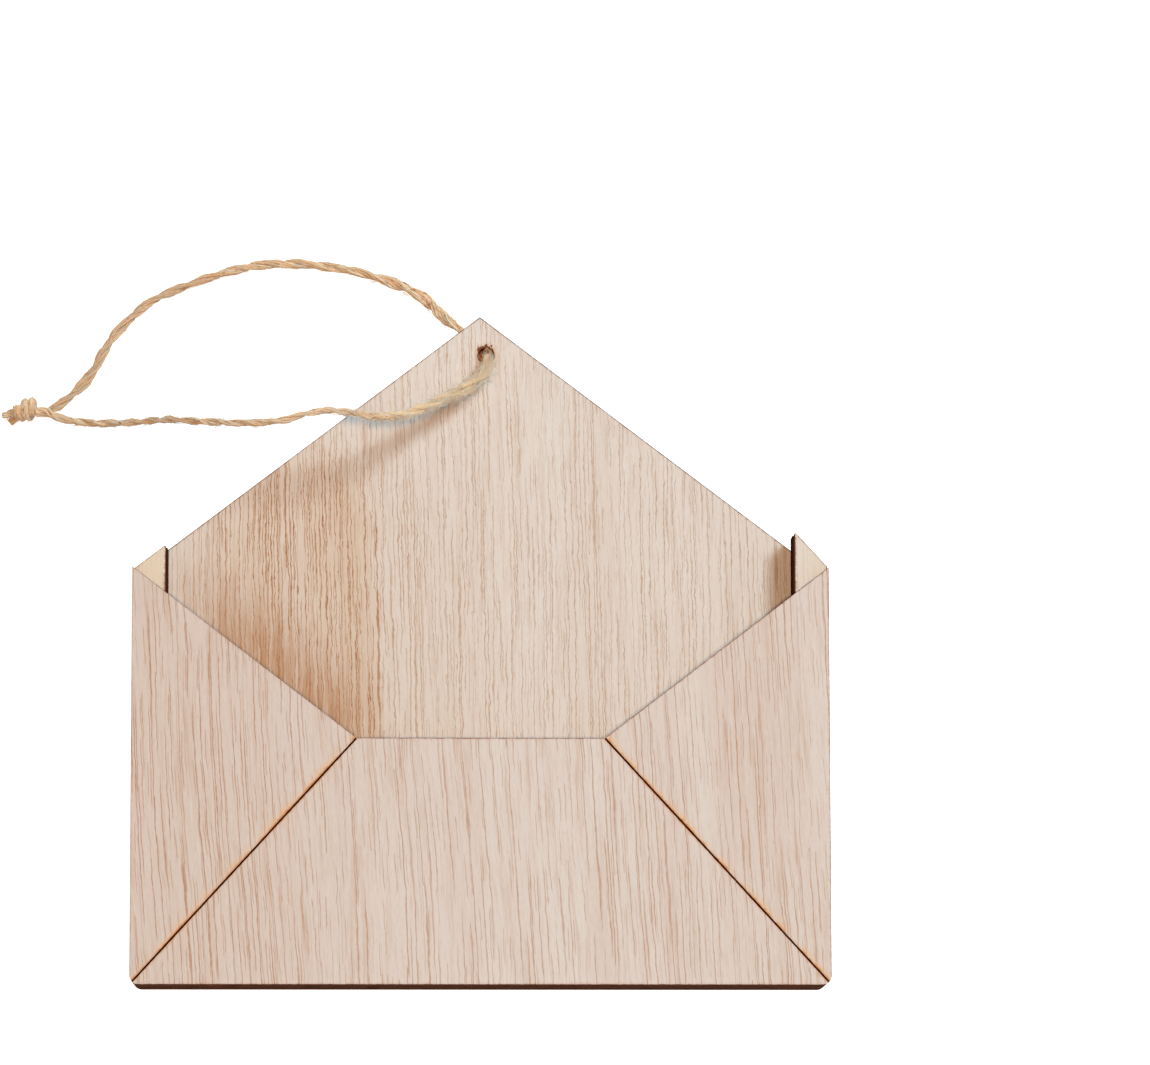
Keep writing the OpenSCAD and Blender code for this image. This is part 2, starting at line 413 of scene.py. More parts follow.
def under_panel(points):
    """Flattens the back run into the space between the table and the panel's back.

    It does so beyond the panel too, so that the run stays clear when the loop swings.
    """
    beside = np.linalg.norm(points[:, :2] - HOLE_AT[:2], axis=1)
    panel_z = (points[:, 1] + FLAP_TO_LOWER_EDGE / 2) * math.tan(LEAN)
    top = panel_z - UNDER_PANEL + 8 * np.clip(HOLE_MOUTH - beside, 0, 0.4)
    middle, half = top / 2 + 0.01, top / 2 - 0.01
    off = (points[:, 2] - middle) / half
    squashed = points.copy()
    squashed[:, 2] = middle + half * off / (1 + np.abs(off) ** SQUASH) ** (1 / SQUASH)
    return squashed


def run_line(route, radius_at, nudge=(0, 0)):
    """The route as a smooth line that rests on the table, and the radius along it.

    The start is moved aside by nudge, against the rim of the hole.
    """
    line = smooth_line(np.array(route, float) + HOLE_AT, RING_STEP)
    s = lengths(line)
    line[:, :2] += np.interp(s, [0, 3.5, 7], [1, 1, 0])[:, None] * np.array(nudge)
    radius = np.interp(s, *radius_at)
    line[:, 2] = np.maximum(line[:, 2], radius * REST)
    return line, s, radius


# Each pair is the places along a run and the values there.
FRONT_RADIUS = (
    [0, 2, 5, 12, 22, 30, 70, 76, 90],
    [0.7, 0.76, 0.86, 0.8, 0.62, 0.55, 0.55, 0.68, 0.66],
)
BACK_RADIUS = (
    [0, 7, 10, 15, 24, 60, 68, 75, 80],
    [0.6, 0.66, 0.9, 0.88, 0.73, 0.73, 0.78, 0.78, 0.66],
)
FRONT_LAY = ([0, 8, 20, 30, 90], [16, 14, 9, LAY_LENGTH, LAY_LENGTH])
BACK_LAY = ([0, 90], [9.5, 9.5])
FRONT_LOOSEN = ([0, 3, 14, 24], [0, 1, 0.6, 0])
FRONT_HAIR = ([0, 1.6, 2, 5, 14, 22, 35, 90], [0, 0, 40, 50, 36, 20, 10, 9])
FUZZ = ([0, 1.6, 2, 5, 16, 26, 90], [0, 0, 60, 75, 50, 10, 4])
BACK_HAIR = ([0, 8, 9, 14, 20, 90], [0, 0, 16, 14, 8, 8])

front_line, front_s, front_radius = run_line(FRONT_ROUTE, FRONT_RADIUS, (0.3, -0.35))
back_line, back_s, back_radius = run_line(BACK_ROUTE, BACK_RADIUS)

front_pile = Pile()
twist(
    front_pile,
    front_line,
    front_radius,
    np.interp(front_s, *FRONT_LAY),
    seed=21,
    phase=0.9,
    loosen=np.interp(front_s, *FRONT_LOOSEN),
)
hairs(
    front_pile, front_line, front_radius, FRONT_HAIR, 1.9, 5, above_panel, (0.0, 0.5), 0.5
)
hairs(
    front_pile, front_line, front_radius * 1.05, FUZZ, 1.5, 6, above_panel, (-0.2, 0.6), 1.0
)

# fibres that mat the bottom of the hole, and loose ones round its lower right
BORE_R = HOLE_D / 2 - 0.08
BORE_RINGS = 5
MATTED_FIBRES, GOLDEN_FIBRES = 130, 190
bore_top = placed(HOLE_X, HOLE_UP, PLY)
bore_rng = random.Random(31)


def bore_fibre(pile, start, end, thick, v0):
    """A short fibre inside the hole, kept off its wall."""
    path = start + np.linspace(0, 1, BORE_RINGS)[:, None] * (end - start)
    aside = path - bore_top
    aside = aside - (aside @ PANEL_UP)[:, None] * PANEL_UP
    wide = np.linalg.norm(aside, axis=1)[:, None]
    path = path - aside * np.maximum(0, 1 - BORE_R / np.maximum(wide, TINY))
    thin = thick * np.linspace(1, 0.5, BORE_RINGS)
    radial = np.tile([0.3, 0.5, 0.8], (BORE_RINGS, 1))
    pile.tube(path, radial, thin, thin, 3, v0=v0, v_span=0.1)


def bore_point(turn, far, deep):
    """A point this far from the hole's middle and this deep under the panel's face."""
    return bore_top + far * np.array([math.cos(turn), math.sin(turn), 0]) - PANEL_UP * deep


for _ in range(MATTED_FIBRES):
    turn = bore_rng.uniform(0, 2 * math.pi)
    deep = bore_rng.uniform(1.3, 2.7)
    across = turn + math.pi + bore_rng.uniform(-1.3, 1.3)
    start, end = bore_point(turn, BORE_R, deep), bore_point(across, BORE_R, deep + 0.2)
    bore_fibre(front_pile, start, end, bore_rng.uniform(0.06, 0.1), MATTED)
for _ in range(GOLDEN_FIBRES):
    turn = bore_rng.uniform(-2.1, 1.3)
    start = bore_point(turn, bore_rng.uniform(0.6, BORE_R), bore_rng.uniform(0.3, 1.6))
    end_turn = turn + bore_rng.uniform(-0.7, 0.7)
    end = bore_point(end_turn, BORE_R * 0.8, bore_rng.uniform(-0.9, -0.1))
    bore_fibre(front_pile, start, end, bore_rng.uniform(0.03, 0.06), GOLDEN)
front_run = front_pile.mesh_object("front_run")

back_pile = Pile()
back_lay = np.interp(back_s, *BACK_LAY)
twist(
    back_pile, back_line, back_radius, back_lay, seed=47, phase=2.0, first=BACK_YARNS
)
hairs(back_pile, back_line, back_radius, BACK_HAIR, 1.3, 8, above_table)
back_pile.points = [under_panel(points) for points in back_pile.points]
back_run = back_pile.mesh_object("back_run")


# Knot


def knot_point(left, along_y, up):
    """A point of the knot, counted leftwards from where the strands enter it."""
    return HOLE_AT + KNOT_AT + np.array([-left, along_y, up])


WRAP_R = 1.08  # from the knot's middle to the middle of a wrap
WRAP_SPAN = 2.05  # from the first wrap to the end of the last
TWO_WRAPS = 4 * math.pi
WRAP_HAIR = ([0, 90], [30, 30])

knot_pile = Pile()
turns = np.linspace(-0.7, TWO_WRAPS + 0.3, 60)
wrap_line = np.array(
    [
        knot_point(
            0.42 + WRAP_SPAN * a / TWO_WRAPS + 0.2 * math.cos(a + 0.6),
            0.35 + WRAP_R * 1.02 * math.sin(a),
            WRAP_R * math.cos(a),
        )
        for a in turns
    ]
)
wrap_line = smooth_line(wrap_line, RING_STEP)
wrap_s = lengths(wrap_line)
wrap_radius = 0.74 + 0.07 * wander(wrap_s, 2.0, 99)
wrap_line[:, 2] = np.maximum(wrap_line[:, 2], wrap_radius * REST)
wrap_lay = np.full(len(wrap_line), 12.0)
twist(
    knot_pile, wrap_line, wrap_radius, wrap_lay, 61, 0.4, spread=0.34, first=KNOT_YARNS
)
hairs(knot_pile, wrap_line, wrap_radius, WRAP_HAIR, 1.2, 13, above_table, (0.0, 0.25))

# the two strands go through the wraps and come out as cut tails
TAILS = [
    [
        (-0.3, -0.2, 0.6),
        (1.2, 0.1, 0.45),
        (2.8, 0.1, 0.1),
        (3.9, -0.2, -0.35),
        (4.8, -0.5, -0.75),
    ],
    [
        (-0.3, 0.2, -0.6),
        (1.2, -0.1, -0.45),
        (2.6, -0.4, -0.6),
        (3.3, -0.9, -0.95),
        (3.9, -1.45, -1.1),
    ],
]
for number, tail in enumerate(TAILS):
    tail_line = smooth_line([knot_point(*p) for p in tail], RING_STEP)
    tail_s = lengths(tail_line)
    cut = tail_s[-1]
    tail_radius = np.interp(tail_s, [0, cut - 1.2, cut], [0.6, 0.66, 0.8 - 0.25 * number])
    tail_line[:, 2] = np.maximum(tail_line[:, 2], tail_radius * TAIL_REST)
    tail_lay = np.full(len(tail_line), LAY_LENGTH)
    fray = np.interp(tail_s, [0, cut - 1.5, cut], [0, 0.2, 0.9])
    phase, seed = 0.5 + number, 71 + number
    twist(
        knot_pile, tail_line, tail_radius, tail_lay, seed, phase, fray, first=KNOT_YARNS
    )
    ends = ([0, cut - 1.6, cut - 1.4, 90], [0, 0, 22, 22])
    hairs(knot_pile, tail_line, tail_radius, ends, 1.0, 17 + number, above_table)
knot = knot_pile.mesh_object("knot")

for piece, node in (
    (front_run, "twine_front_run"),
    (back_run, "twine_back_run"),
    (knot, "twine_knot"),
):
    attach(piece, "hanging_loop")
    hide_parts(node)


# Materials


def tone(r, g, b):
    """A colour as it shows on screen, 0 to 255, as a shader's linear colour."""
    shown = [v / 255 for v in (r, g, b)]
    linear = [v / 12.92 if v <= 10 / 255 else ((v + 0.055) / 1.055) ** 2.4 for v in shown]
    return (*linear, 1.0)


class Shader:
    """Builds a material's nodes with few words."""

    def __init__(self, name, roughness):
        self.material = bpy.data.materials.new(name)
        self.material.use_nodes = True
        self.tree = self.material.node_tree
        self.surface = self.tree.nodes["Principled BSDF"]
        self.surface.inputs["Roughness"].default_value = roughness

    def node(self, kind, inputs=(), **settings):
        made = self.tree.nodes.new("ShaderNode" + kind)
        for name, value in settings.items():
            setattr(made, name, value)
        for key, value in dict(inputs).items():
            self.put(made.inputs[key], value)
        return made

    def put(self, socket, value):
        if isinstance(value, bpy.types.NodeSocket):
            self.tree.links.new(value, socket)
        else:
            socket.default_value = value

    def math(self, operation, a, b=0.0, clamp=False):
        made = self.node("Math", {0: a, 1: b}, operation=operation, use_clamp=clamp)
        return made.outputs[0]

    def add(self, a, b):
        return self.math("ADD", a, b)

    def times(self, a, b):
        return self.math("MULTIPLY", a, b)

    def most(self, *values):
        top = values[0]
        for value in values[1:]:
            top = self.math("MAXIMUM", top, value)
        return top

    def dot(self, vector, direction):
        made = self.node("VectorMath", {0: vector, 1: direction}, operation="DOT_PRODUCT")
        return made.outputs["Value"]

    def times_vector(self, vector, factor):
        made = self.node("VectorMath", {0: vector, "Scale": factor}, operation="SCALE")
        return made.outputs[0]

    def split(self, vector):
        return self.node("SeparateXYZ", {0: vector}).outputs

    def join(self, x, y, z=0.0):
        return self.node("CombineXYZ", {0: x, 1: y, 2: z}).outputs[0]

    def noise(self, vector, detail=2.0, roughness=0.5):
        made = self.node(
            "TexNoise",
            {"Vector": vector, "Scale": 1.0, "Detail": detail, "Roughness": roughness},
        )
        return made.outputs["Fac"]

    def ramp(self, value, low, high, to_low=0.0, to_high=1.0):
        """A smooth step of value from low to high."""
        made = self.node(
            "MapRange",
            {
                "Value": value,
                "From Min": low,
                "From Max": high,
                "To Min": to_low,
                "To Max": to_high,
            },
            interpolation_type="SMOOTHSTEP",
        )
        return made.outputs["Result"]

    def mix(self, factor, a, b):
        made = self.node("Mix", data_type="RGBA")
        self.put(made.inputs[0], factor)
        self.put(made.inputs[6], a)
        self.put(made.inputs[7], b)
        return made.outputs[2]

    def bump(self, height, distance, strength=1.0):
        made = self.node(
            "Bump", {"Height": height, "Distance": distance, "Strength": strength}
        )
        self.put(self.surface.inputs["Normal"], made.outputs[0])


def cut_edges(obj, smallest=4.0):
    """The planes of the sheet's sawn sides as (outward direction, distance in mm).

    Sides of less than smallest mm2, such as the facets of rounded corners, are left out.
    """
    areas = {}
    for face in obj.data.polygons:
        n = face.normal
        if abs(n.z) < 0.2:
            distance = n.dot(face.center) / MM
            key = (round(n.x, 2), round(n.y, 2), round(distance, 1))
            total, _, _ = areas.get(key, (0, None, None))
            areas[key] = (total + face.area / MM**2, tuple(n), distance)
    return [(n, d) for total, n, d in areas.values() if total > smallest]


def burn_of(direction):
    """Width of the charred line, width of the toasted halo and its strength, by edge."""
    x, y, _ = direction
    if y < -0.3 and abs(x) > 0.3:  # a side piece's seam
        return 0.07, 1.8, 0.9
    if y > 0.75 and abs(x) > 0.3:  # the vee
        return 0.12, 0.7, 0.2
    if y > 0.3 and abs(x) > 0.3:  # the bottom piece's seams
        return 0.09, 0.9, 0.4
    return 0.13, 0.5, 0.2


def burn_of_panel(direction):
    """The flap's outline is a thin charred line with hardly any halo."""
    return 0.19, 0.6, 0.15


def burn_of_strip(direction):
    """The strips' long edges are charred further in than the rest."""
    x, _, _ = direction
    return (0.26, 0.6, 0.3) if abs(x) > 0.9 else (0.14, 0.5, 0.25)


def burn_of_lower_strip(direction):
    """The lower strips' narrow ledge is charred all over."""
    return 0.6, 0.8, 0.3


def burn_of_left(direction):
    """The left piece is charred at its seam and hardly at all along the vee."""
    x, y, _ = direction
    return (0.07, 1.8, 0.9) if y < -0.3 and x > 0.3 else (0.07, 0.5, 0.2)


def pores(sh, x, y, wide, long, line, rarity, seed):
    """Dark pore lines along the grain: one in a cell of wide by long mm, some left out.

    They are about line mm wide, and rarity is the share that is left out.
    """
    at = sh.join(
        sh.add(sh.times(x, 1 / wide), seed * 3.7), sh.add(sh.times(y, 1 / long), seed * 1.3)
    )
    cell = sh.node(
        "TexVoronoi",
        {"Vector": at, "Scale": 1.0, "Randomness": 1.0},
        voronoi_dimensions="2D",
    )
    away = sh.node(
        "VectorMath", {0: at, 1: cell.outputs["Position"]}, operation="SUBTRACT"
    ).outputs[0]
    dx, dy, _ = sh.split(away)
    chance = sh.split(cell.outputs["Color"])[0]
    aside = sh.times(sh.math("ABSOLUTE", dx), wide)
    thick = sh.add(sh.times(chance, line * 0.6), line * 0.7)
    body = sh.ramp(sh.math("DIVIDE", aside, thick), 0.4, 1.0, 1.0, 0.0)
    fade = sh.ramp(sh.math("ABSOLUTE", dy), 0.4, 0.7, 1.0, 0.0)
    return sh.times(sh.times(body, fade), sh.ramp(chance, rarity, sh.add(rarity, 0.4)))


FRINGE = 0.3  # width of the brown fringe between the charred line and the halo
EVEN_BROWN = 0.1  # share of the brown tones in the strips' veneer
SOOT, CHAR = tone(40, 26, 20), tone(44, 28, 21)  # on the sawn sides
# brown of the veneer mixed with painted shade beside the vee's left edge
VEE_SHADE_TONE = tone(186, 138, 100)


def plywood(name, obj, look):
    """Veneered plywood with laser-burnt edges, for one sheet lying as the CAD has it."""
    sh = Shader(name, roughness=0.72)
    tex = sh.node("TexCoord")
    at = sh.node(
        "Mapping",
        {
            "Vector": tex.outputs["Object"],
            "Scale": (1 / MM,) * 3,
            "Rotation": (-LEAN, 0, 0),
            "Location": (
                0,
                FLAP_TO_LOWER_EDGE / 2 * math.cos(LEAN),
                -FLAP_TO_LOWER_EDGE / 2 * math.sin(LEAN),
            ),
        },
    ).outputs[0]
    x, y, z = sh.split(at)
    seed = look["seed"]

    # grain: the lines lean, sway a little together and tremble
    sway = sh.noise(sh.join(sh.times(x, 0.06), sh.times(y, 0.02), seed + 4.1), detail=1.0)
    bend = sh.noise(sh.join(sh.times(x, 0.4), sh.times(y, 0.3), seed + 9.3), detail=1.0)
    shake = sh.noise(sh.join(sh.times(x, 2.6), sh.times(y, 0.9), seed + 6.7), detail=2.0)
    gx = sh.add(x, sh.times(y, look["lean"]))
    swings = ((sway, look["sway"]), (bend, look["bend"]), (shake, look["shake"]))
    for swing, amount in swings:
        gx = sh.add(gx, sh.times(sh.math("SUBTRACT", swing, 0.5), amount))

    zone = look["zone"](sh, x, y, seed)  # 0 where the veneer is pale, 1 where it is brown
    tint = sh.noise(sh.join(sh.times(gx, 0.13), sh.times(y, 0.012), seed + 2), detail=2.0)
    streak = sh.noise(
        sh.join(sh.times(gx, 0.8), sh.times(y, 0.045), seed), detail=4.0, roughness=0.65
    )
    thread = sh.noise(
        sh.join(sh.times(gx, 3.2), sh.times(y, 0.14), seed + 3), detail=3.0, roughness=0.7
    )
    fibre = sh.noise(
        sh.join(sh.times(gx, 9.0), sh.times(y, 0.9), sh.add(sh.times(z, 0.4), seed)),
        detail=2.0,
        roughness=0.7,
    )
    dash = sh.noise(sh.join(sh.times(gx, 1.6), sh.times(y, 0.8), seed + 8), detail=2.0)
    rarity = sh.ramp(zone, 0.0, 1.0, look["rarity"], 0.0)
    gap, line = look["pore_gap"], look["pore_w"]
    pore = sh.most(
        pores(sh, gx, y, gap, 42.0, line, rarity, seed + 1),
        pores(sh, gx, y, gap * 0.75, 15.0, line * 0.9, rarity, seed + 5),
        sh.times(pores(sh, gx, y, gap * 0.6, 5.0, line * 0.8, rarity, seed + 7), 0.8),
    )
    pore = sh.times(pore, sh.ramp(dash, 0.35, 0.6, 0.7, 1.0))
    depth = sh.ramp(zone, 0.0, 1.0, look["pore_faint"], look["pore_strong"])
    pore = sh.math("MULTIPLY", pore, depth, clamp=True)

    face = sh.mix(zone, look["pale"], look["tan"])
    face = sh.mix(sh.ramp(tint, 0.35, 0.7, 0.0, 0.7), face, look["flush"])
    face = sh.mix(sh.ramp(streak, 0.48, 0.8, 0.0, look["streaks"]), face, look["streak"])
    face = sh.mix(sh.ramp(thread, 0.5, 0.75, 0.0, look["threads"]), face, look["streak"])
    face = sh.mix(sh.ramp(thread, 0.28, 0.46, 0.3, 0.0), face, look["light"])
    face = sh.mix(sh.ramp(fibre, 0.52, 0.75, 0.0, 0.3), face, look["streak"])
    face = sh.mix(sh.ramp(fibre, 0.25, 0.45, 0.3, 0.0), face, look["light"])
    # painted shade, mixed with brown veneer, beside the vee's left edge
    if "vee_shade" in look:
        face = sh.mix(look["vee_shade"](sh, x, y, streak), face, VEE_SHADE_TONE)
    face = sh.mix(pore, face, sh.mix(zone, look["pore"], look["deep_pore"]))

    # scorched cut edges: a charred line, a narrow brown fringe, then a toasted halo that
    # fades out in patches
    ragged = sh.noise(sh.times_vector(at, 1.6), detail=3.0, roughness=0.65)
    patchy = sh.noise(sh.times_vector(at, 0.22), detail=2.0)
    patch = sh.ramp(patchy, 0.35, 0.62, 0.25, 1.0)
    char, fringe, toast = None, None, None
    for direction, distance in cut_edges(obj):
        char_w, halo_w, strength = look.get("burn", burn_of)(direction)
        reach = sh.dot(tex.outputs["Object"], tuple(v / MM for v in direction))
        inside = sh.math("SUBTRACT", distance, reach)
        uneven = sh.math("DIVIDE", inside, sh.ramp(ragged, 0.3, 0.7, 0.55, 1.3))
        line = sh.ramp(uneven, char_w * 0.3, char_w, 1.0, 0.0)
        near = sh.math("SUBTRACT", 1.0, sh.math("DIVIDE", uneven, halo_w, clamp=True))
        halo = sh.times(sh.times(near, near), sh.times(patch, strength))
        beside = sh.ramp(uneven, char_w, char_w + FRINGE, 1.0, 0.0)
        brown = sh.times(beside, sh.times(patch, strength))
        char = line if char is None else sh.most(char, line)
        fringe = brown if fringe is None else sh.most(fringe, brown)
        toast = halo if toast is None else sh.most(toast, halo)
    face = sh.mix(sh.ramp(toast, 0.0, 0.7, 0.0, 0.8), face, look["halo"])
    face = sh.mix(sh.math("MULTIPLY", fringe, 0.95), face, look["scorch"])
    face = sh.mix(sh.math("MULTIPLY", char, look["char"]), face, look["burnt"])

    # the sawn sides: three plies, charred, with fine marks of the laser
    ply_z = sh.math("FRACT", sh.times(z, 1 / PLY))
    outer = sh.math("ABSOLUTE", sh.math("SUBTRACT", ply_z, 0.5))
    skin = sh.ramp(outer, 0.26, 0.3, 0.0, 1.0)
    rim = sh.ramp(outer, 0.42, 0.5, 0.0, 1.0)
    mark_at = sh.node("Mapping", {"Vector": at, "Scale": (4.5, 4.5, 0.25)}).outputs[0]
    marks = sh.noise(mark_at, detail=3.0, roughness=0.7)
    soot = sh.noise(sh.times_vector(at, 0.35), detail=2.0)
    side = sh.mix(skin, look["edge_core"], look["edge"])
    side = sh.mix(sh.ramp(marks, 0.45, 0.8, 0.0, 0.6), side, look["edge_light"])
    side = sh.mix(sh.ramp(soot, 0.4, 0.75, 0.0, 0.5), side, SOOT)
    side = sh.mix(sh.times(rim, 0.55), side, CHAR)

    up = sh.split(tex.outputs["Normal"])[2]
    is_face = sh.ramp(sh.math("ABSOLUTE", up), 0.4, 0.6)
    if "hole" in look:
        face, side = look["hole"](sh, x, y, face, side)
    sh.put(sh.surface.inputs["Base Color"], sh.mix(is_face, side, face))
    sh.surface.inputs["Specular IOR Level"].default_value = 0.0
    dents = sh.math("SUBTRACT", sh.times(fibre, 0.35), sh.times(pore, 0.3))
    sh.bump(
        sh.mix(is_face, sh.join(marks, marks, marks), sh.join(dents, dents, dents)),
        0.08 * MM,
        0.6,
    )
    obj.data.materials.clear()
    obj.data.materials.append(sh.material)


def back_zone(sh, x, y, seed):
    """The brown, open-grained part of the back panel, left of a fairly sharp line."""
    edge_x, left_x, top_y = -13.8, -37.0, 84.0
    wave = sh.noise(sh.join(sh.times(x, 0.12), sh.times(y, 0.1), seed + 13), detail=3.0)
    wx = sh.add(x, sh.times(sh.math("SUBTRACT", wave, 0.5), 9.0))
    soft = sh.ramp(y, 58.0, 80.0, 1.2, 9.0)
    right = sh.math("DIVIDE", sh.math("SUBTRACT", edge_x, wx), soft)
    from_right = sh.ramp(right, -0.6, 1.0)
    from_left = sh.ramp(wx, left_x - 8, left_x + 8, 0.35, 1.0)
    from_top = sh.ramp(y, top_y - 14, top_y + 2, 1.0, 0.0)
    wide = sh.times(sh.times(from_right, from_left), from_top)
    pale = sh.times(sh.ramp(x, -14.0, 12.0, 0.3, 0.08), sh.ramp(y, 66.0, 82.0, 1.0, 0.0))
    return sh.most(sh.times(wide, 0.95), pale)


def brown_and_shade_by_vee(sh, x, y, streak):
    """The back panel is brownest low down, next to the vee's left edge: partly its brown
    veneer, partly painted shade beside the left front piece's edge.
    """
    above_vee = sh.add(sh.add(y, sh.times(x, 0.767)), -21.65)
    near = sh.ramp(sh.times(above_vee, 0.79), 0.0, 13.0, 1.0, 0.0)
    side = sh.times(sh.ramp(x, -47.0, -34.0), sh.ramp(x, -24.0, -8.0, 1.0, 0.0))
    return sh.times(sh.times(near, side), sh.ramp(streak, 0.35, 0.6, 0.3, 0.85))


def scorched_hole_lit_wall(sh, x, y, face, side):
    """Char round the hanging hole, with a ragged scorch above it, and the hole's wall
    painted lighter brown than char: painted light in its shade.
    """
    dx = sh.math("SUBTRACT", x, HOLE_X)
    dy = sh.math("SUBTRACT", y, HOLE_UP)
    r = sh.math("SQRT", sh.add(sh.times(dx, dx), sh.times(dy, dy)))
    rough = sh.noise(sh.join(sh.times(x, 2.2), sh.times(y, 1.1), 3.0), detail=2.0)
    lobe = sh.ramp(sh.add(sh.times(dx, -0.1), dy), 0.5, 1.3, 0.0, 0.5)
    reach = sh.math("SUBTRACT", r, HOLE_D / 2)
    reach = sh.math("SUBTRACT", reach, sh.times(lobe, sh.ramp(rough, 0.4, 0.62)))
    face = sh.mix(sh.ramp(reach, 0.1, 0.9, 0.45, 0.0), face, tone(206, 156, 106))
    face = sh.mix(sh.ramp(reach, 0.0, 0.2, 0.95, 0.0), face, tone(112, 62, 30))
    # painted light: the hole's wall is a lighter brown than char, to lift the shade inside
    # the hole
    return face, sh.mix(sh.ramp(r, 2.0, 3.0, 0.85, 0.0), side, tone(170, 104, 58))


def front_zone(sh, x, y, seed):
    """The front veneer is a little browner at the left and in a streak on the right."""
    left = sh.ramp(x, -50.0, 4.0, 0.46, 0.08)
    near = sh.math("ABSOLUTE", sh.math("SUBTRACT", sh.add(x, sh.times(y, 0.06)), 41.0))
    return sh.add(left, sh.ramp(near, 1.0, 4.5, 0.12, 0.0))


def even_zone(sh, x, y, seed):
    """The strips' veneer is pale all over."""
    return EVEN_BROWN


# What each sheet looks like: seed and course of the grain, tones of the veneer, its pores,
# then the scorched edges and the sawn sides.
RUST_EDGE = {"edge": tone(88, 40, 26), "edge_core": tone(66, 30, 20)}
RED_EDGE = {"edge": tone(146, 78, 48), "edge_core": tone(122, 62, 36)}
FRONT = {
    "seed": 5.0,
    "lean": 0.065,
    "sway": 2.2,
    "bend": 0.4,
    "shake": 0.16,
    "zone": front_zone,
    "pale": tone(227, 214, 203),
    "tan": tone(206, 176, 154),
    "flush": tone(219, 198, 184),
    "streak": tone(200, 162, 134),
    "streaks": 0.6,
    "threads": 0.4,
    "light": tone(234, 224, 213),
    "pore": tone(186, 138, 104),
    "deep_pore": tone(174, 112, 74),
    "rarity": 0.4,
    "pore_gap": 1.4,
    "pore_w": 0.085,
    "pore_faint": 0.74,
    "pore_strong": 1.0,
    "halo": tone(230, 184, 138),
    "scorch": tone(196, 118, 62),
    "burnt": tone(112, 44, 16),
    "char": 0.9,
    "edge": tone(122, 80, 62),
    "edge_core": tone(100, 64, 48),
    "edge_light": tone(148, 100, 78),
}
BACK = {
    **FRONT,
    "seed": 41.0,
    "lean": 0.02,
    "sway": 1.6,
    "bend": 0.5,
    "shake": 0.42,
    "zone": back_zone,
    "hole": scorched_hole_lit_wall,
    # painted shade and brown veneer beside the vee's left edge
    "vee_shade": brown_and_shade_by_vee,
    "pale": tone(229, 217, 206),
    "tan": tone(218, 192, 168),
    "flush": tone(225, 208, 194),
    "streak": tone(204, 168, 138),
    "streaks": 0.4,
    "threads": 0.4,
    "light": tone(236, 225, 212),
    "pore": tone(188, 148, 114),
    "deep_pore": tone(176, 120, 78),
    "rarity": 0.35,
    "pore_gap": 1.1,
    "pore_w": 0.08,
    "pore_faint": 0.72,
    "pore_strong": 1.0,
    "burn": burn_of_panel,
    "burnt": tone(96, 74, 60),
}
STRIP = {
    **FRONT,
    "burn": burn_of_strip,
    "seed": 77.0,
    "lean": 0.01,
    "sway": 0.8,
    "zone": even_zone,
    "pale": tone(232, 214, 189),
    "tan": tone(216, 191, 160),
    "flush": tone(225, 204, 177),
    "streak": tone(212, 186, 156),
    "streaks": 0.4,
    "threads": 0.3,
    "light": tone(240, 226, 204),
    "pore_faint": 0.3,
    "pore_strong": 0.4,
    "burnt": tone(82, 38, 26),
    "edge": tone(112, 73, 57),
    "edge_core": tone(92, 58, 44),
}
LOWER_STRIP = {
    **STRIP,
    "burn": burn_of_lower_strip,
    "char": 1.0,
    "edge": tone(60, 32, 22),
    "edge_core": tone(48, 27, 20),
    "edge_light": tone(84, 48, 34),
}
RIGHT_UPPER_STRIP = {
    **STRIP,
    "pale": tone(232, 220, 206),
    "edge": tone(112, 60, 42),
    "edge_core": tone(88, 48, 34),
    "edge_light": tone(128, 76, 54),
}
LOOKS = {
    "back_panel": BACK,
    "left_spacer_lower": {**LOWER_STRIP, **RUST_EDGE},
    "left_spacer_upper": {**STRIP, **RUST_EDGE},
    "right_spacer_lower": LOWER_STRIP,
    "right_spacer_upper": RIGHT_UPPER_STRIP,
    "bottom_spacer_lower": STRIP,
    "bottom_spacer_upper": STRIP,
    "front_left": {**FRONT, "burn": burn_of_left, **RED_EDGE},
    "front_right": {**FRONT, **RED_EDGE},
    "front_bottom": FRONT,
}
for node_name, look in LOOKS.items():
    plywood("plywood_" + node_name, nodes[node_name], look)


